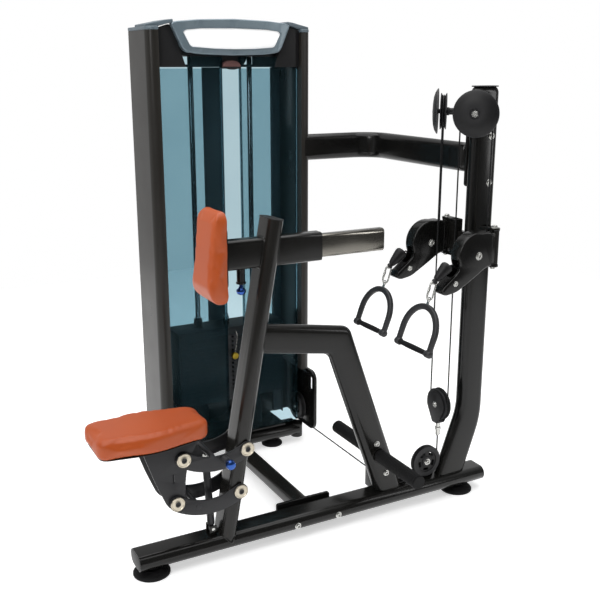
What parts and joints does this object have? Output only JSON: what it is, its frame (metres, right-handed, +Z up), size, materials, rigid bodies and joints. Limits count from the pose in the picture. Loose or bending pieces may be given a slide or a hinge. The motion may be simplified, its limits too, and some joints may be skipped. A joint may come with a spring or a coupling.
{
  "type": "seated cable row machine",
  "caption": "Chest-supported cable row: weight tower with shrouds, cable post with swivel pulley arms and stirrup handles, sliding chest pad, foot bar and four-bar adjustable seat.",
  "frame": {"origin": "on the floor, under the middle of the machine's bounding box", "axes": "+X from the seat along the base rail to the cable post, +Y from the seat side to the weight tower, +Z up"},
  "size_m": [1.408, 1.052, 1.64],
  "materials": {
    "gloss_black": "gloss powder coat",
    "satin_black": "satin powder coat",
    "polymer_black": "moulded, fine grain",
    "upholstery": "smooth orange-tan vinyl over foam",
    "rubber_black": "matt rubber",
    "chrome": "bright plated",
    "blue_anodised": "blue anodised, glossy",
    "brass": "polished",
    "cast_iron": "dark painted weights",
    "teal_panel": "tinted clear panel, glossy",
    "silver_plastic": "silver-grey moulded",
    "cable": "black nylon coated steel cable",
    "pulley": "glass-filled nylon"
  },
  "bodies": {
    "frame": {"base_rail": "gloss_black", "foot_seat_end": "rubber_black", "foot_post_end": "rubber_black", "foot_tower_left": "rubber_black", "foot_tower_right": "rubber_black", "seat_column": "gloss_black", "front_frame": "gloss_black", "foot_bar": "rubber_black", "cable_post": "gloss_black", "cross_brace": "gloss_black", "swivel_crossbar": "gloss_black", "tower_base": "gloss_black", "side_column_left": "satin_black", "side_column_right": "satin_black", "tower_top": "satin_black", "header_bezel": "silver_plastic", "front_shroud_left": "teal_panel", "front_shroud_right": "teal_panel", "rear_shroud": "teal_panel", "guide_rod_left": "chrome", "guide_rod_right": "chrome", "side_pulley_bracket": "satin_black", "top_axle_near": "satin_black", "top_axle_far": "satin_black", "handle_cable": "cable", "front_cable": "cable", "stack_cable": "cable", "resting_plates": "cast_iron", "stack_bumper_left": "rubber_black", "stack_bumper_right": "rubber_black"},
    "weight_carriage": {"top_plate": "cast_iron", "lifted_plates": "cast_iron"},
    "selector": {"selector_pin": "brass"},
    "float": {"float_block": "satin_black"},
    "float_wheel": {"float_pulley": "pulley"},
    "arm_near": {"swivel_arm_near": "gloss_black", "cable_stop_near": "polymer_black"},
    "arm_far": {"swivel_arm_far": "gloss_black", "cable_stop_far": "polymer_black"},
    "arm_wheel_near": {"arm_pulley_near": "pulley"},
    "arm_wheel_far": {"arm_pulley_far": "pulley"},
    "grip_near": {"handle_near": "polymer_black"},
    "grip_far": {"handle_far": "polymer_black"},
    "pad": {"pad_tube": "chrome", "chest_pad": "upholstery"},
    "pad_lock": {"pad_pin": "blue_anodised"},
    "seat_upper": {"upper_link": "satin_black"},
    "seat": {"seat_bracket": "satin_black", "seat_cushion": "upholstery"},
    "seat_lower": {"lower_link": "satin_black"},
    "gas_body": {"gas_spring_body": "satin_black"},
    "gas_rod": {"gas_spring_rod": "chrome"},
    "seat_lock": {"seat_pin": "blue_anodised"},
    "top_wheel_near": {"top_pulley_near": "pulley"},
    "top_wheel_far": {"top_pulley_far": "pulley"},
    "low_wheel": {"low_pulley": "pulley"},
    "corner_wheel": {"corner_pulley": "pulley"},
    "side_wheel": {"side_pulley": "pulley"},
    "riser_wheel": {"riser_pulley": "pulley"},
    "drop_wheel": {"drop_pulley": "pulley"}
  },
  "joints": [
    {"name": "weight_lift", "type": "slide", "parent": "frame", "child": "weight_carriage", "axis": [0, 0, 1], "range_m": [0, 0.45], "deforming": ["stack_cable"]},
    {"name": "float_travel", "type": "slide", "parent": "frame", "child": "float", "axis": [0, 0, 1], "range_m": [0, 0.45], "deforming": ["handle_cable", "front_cable"]},
    {"name": "selector_pull", "type": "slide", "parent": "weight_carriage", "child": "selector", "axis": [0, -1, 0], "range_m": [0, 0.05]},
    {"name": "float_pulley_spin", "type": "hinge", "parent": "float", "child": "float_wheel", "pos_m": [0.521, -0.274, 0.347], "axis": [1, 0, 0], "continuous": true},
    {"name": "arm_swivel_near", "type": "hinge", "parent": "frame", "child": "arm_near", "pos_m": [0.618, -0.399, 0.899], "axis": [0, 0, 1], "range_deg": [-4, 25], "deforming": ["handle_cable"]},
    {"name": "arm_pulley_spin_near", "type": "hinge", "parent": "arm_near", "child": "arm_wheel_near", "pos_m": [0.538, -0.399, 0.899], "axis": [0, 1, 0], "range_deg": [0, 540]},
    {"name": "handle_swing_near", "type": "hinge", "parent": "arm_near", "child": "grip_near", "pos_m": [0.366, -0.4, 0.771], "axis": [0, 1, 0], "range_deg": [-12, 35]},
    {"name": "arm_swivel_far", "type": "hinge", "parent": "frame", "child": "arm_far", "pos_m": [0.618, -0.149, 0.899], "axis": [0, 0, -1], "range_deg": [-4, 25], "deforming": ["handle_cable"]},
    {"name": "arm_pulley_spin_far", "type": "hinge", "parent": "arm_far", "child": "arm_wheel_far", "pos_m": [0.538, -0.149, 0.899], "axis": [0, 1, 0], "range_deg": [0, 540]},
    {"name": "handle_swing_far", "type": "hinge", "parent": "arm_far", "child": "grip_far", "pos_m": [0.366, -0.148, 0.771], "axis": [0, 1, 0], "range_deg": [-12, 35]},
    {"name": "top_pulley_spin_near", "type": "hinge", "parent": "frame", "child": "top_wheel_near", "pos_m": [0.5535, -0.3595, 1.34], "axis": [-0.7741, -0.6331, 0], "range_deg": [-510, 0]},
    {"name": "top_pulley_spin_far", "type": "hinge", "parent": "frame", "child": "top_wheel_far", "pos_m": [0.5535, -0.1885, 1.34], "axis": [-0.7741, 0.6331, 0], "range_deg": [0, 510]},
    {"name": "low_pulley_spin", "type": "hinge", "parent": "frame", "child": "low_wheel", "pos_m": [0.473, -0.274, 0.141], "axis": [0, 1, 0], "range_deg": [-540, 0]},
    {"name": "corner_pulley_spin", "type": "hinge", "parent": "frame", "child": "corner_wheel", "pos_m": [0.367, -0.226, 0.093], "axis": [0, 0, 1], "range_deg": [0, 540]},
    {"name": "side_pulley_spin", "type": "hinge", "parent": "frame", "child": "side_wheel", "pos_m": [0.319, 0.398, 0.141], "axis": [1, 0, 0], "range_deg": [-540, 0]},
    {"name": "riser_pulley_spin", "type": "hinge", "parent": "frame", "child": "riser_wheel", "pos_m": [0.271, 0.446, 1.527], "axis": [0, 1, 0], "range_deg": [0, 540]},
    {"name": "drop_pulley_spin", "type": "hinge", "parent": "frame", "child": "drop_wheel", "pos_m": [0.079, 0.446, 1.527], "axis": [0, 1, 0], "range_deg": [0, 540]},
    {"name": "pad_slide", "type": "slide", "parent": "frame", "child": "pad", "axis": [1, 0, 0], "range_m": [-0.2, 0]},
    {"name": "pad_pin_pull", "type": "slide", "parent": "frame", "child": "pad_lock", "axis": [0, 0, -1], "range_m": [0, 0.012], "stiffness_N_per_m": 800, "springref_m": -0.005},
    {"name": "seat_lift", "type": "hinge", "parent": "frame", "child": "seat_upper", "pos_m": [-0.24, -0.274, 0.365], "axis": [0, 1, 0], "range_deg": [-8, 30]},
    {"name": "seat_level", "type": "hinge", "parent": "seat_upper", "child": "seat", "pos_m": [-0.444, -0.274, 0.373], "axis": [0, 1, 0], "range_deg": [-31, 9]},
    {"name": "lower_link_swing", "type": "hinge", "parent": "frame", "child": "seat_lower", "pos_m": [-0.264, -0.274, 0.23], "axis": [0, 1, 0], "range_deg": [-9, 31]},
    {"name": "gas_spring_tilt", "type": "hinge", "parent": "frame", "child": "gas_body", "pos_m": [-0.341, -0.274, 0.1], "axis": [0, 1, 0], "range_deg": [-1, 3]},
    {"name": "gas_spring_stroke", "type": "slide", "parent": "gas_body", "child": "gas_rod", "axis": [-0.0526, 0, 0.9986], "range_m": [-0.016, 0.058]},
    {"name": "seat_pin_pull", "type": "slide", "parent": "seat_upper", "child": "seat_lock", "axis": [0, -1, 0], "range_m": [0, 0.012], "stiffness_N_per_m": 800, "springref_m": -0.005}
  ],
  "couplings": [
    {"joint": "float_travel", "follows": "weight_lift", "ratio": 1},
    {"joint": "arm_pulley_spin_near", "follows": "weight_lift", "rad_per_m": 20.833},
    {"joint": "arm_pulley_spin_far", "follows": "weight_lift", "rad_per_m": 20.833},
    {"joint": "top_pulley_spin_near", "follows": "weight_lift", "rad_per_m": -19.57},
    {"joint": "top_pulley_spin_far", "follows": "weight_lift", "rad_per_m": 19.57},
    {"joint": "low_pulley_spin", "follows": "weight_lift", "rad_per_m": -20.833},
    {"joint": "corner_pulley_spin", "follows": "weight_lift", "rad_per_m": 20.833},
    {"joint": "side_pulley_spin", "follows": "weight_lift", "rad_per_m": -20.833},
    {"joint": "riser_pulley_spin", "follows": "weight_lift", "rad_per_m": 20.833},
    {"joint": "drop_pulley_spin", "follows": "weight_lift", "rad_per_m": 20.833},
    {"joint": "seat_level", "follows": "seat_lift", "ratio": -1},
    {"joint": "lower_link_swing", "follows": "seat_lift", "ratio": 1},
    {"joint": "gas_spring_tilt", "follows": "seat_lift", "ratio": 0.09},
    {"joint": "gas_spring_stroke", "follows": "seat_lift", "m_per_rad": 0.11}
  ]
}
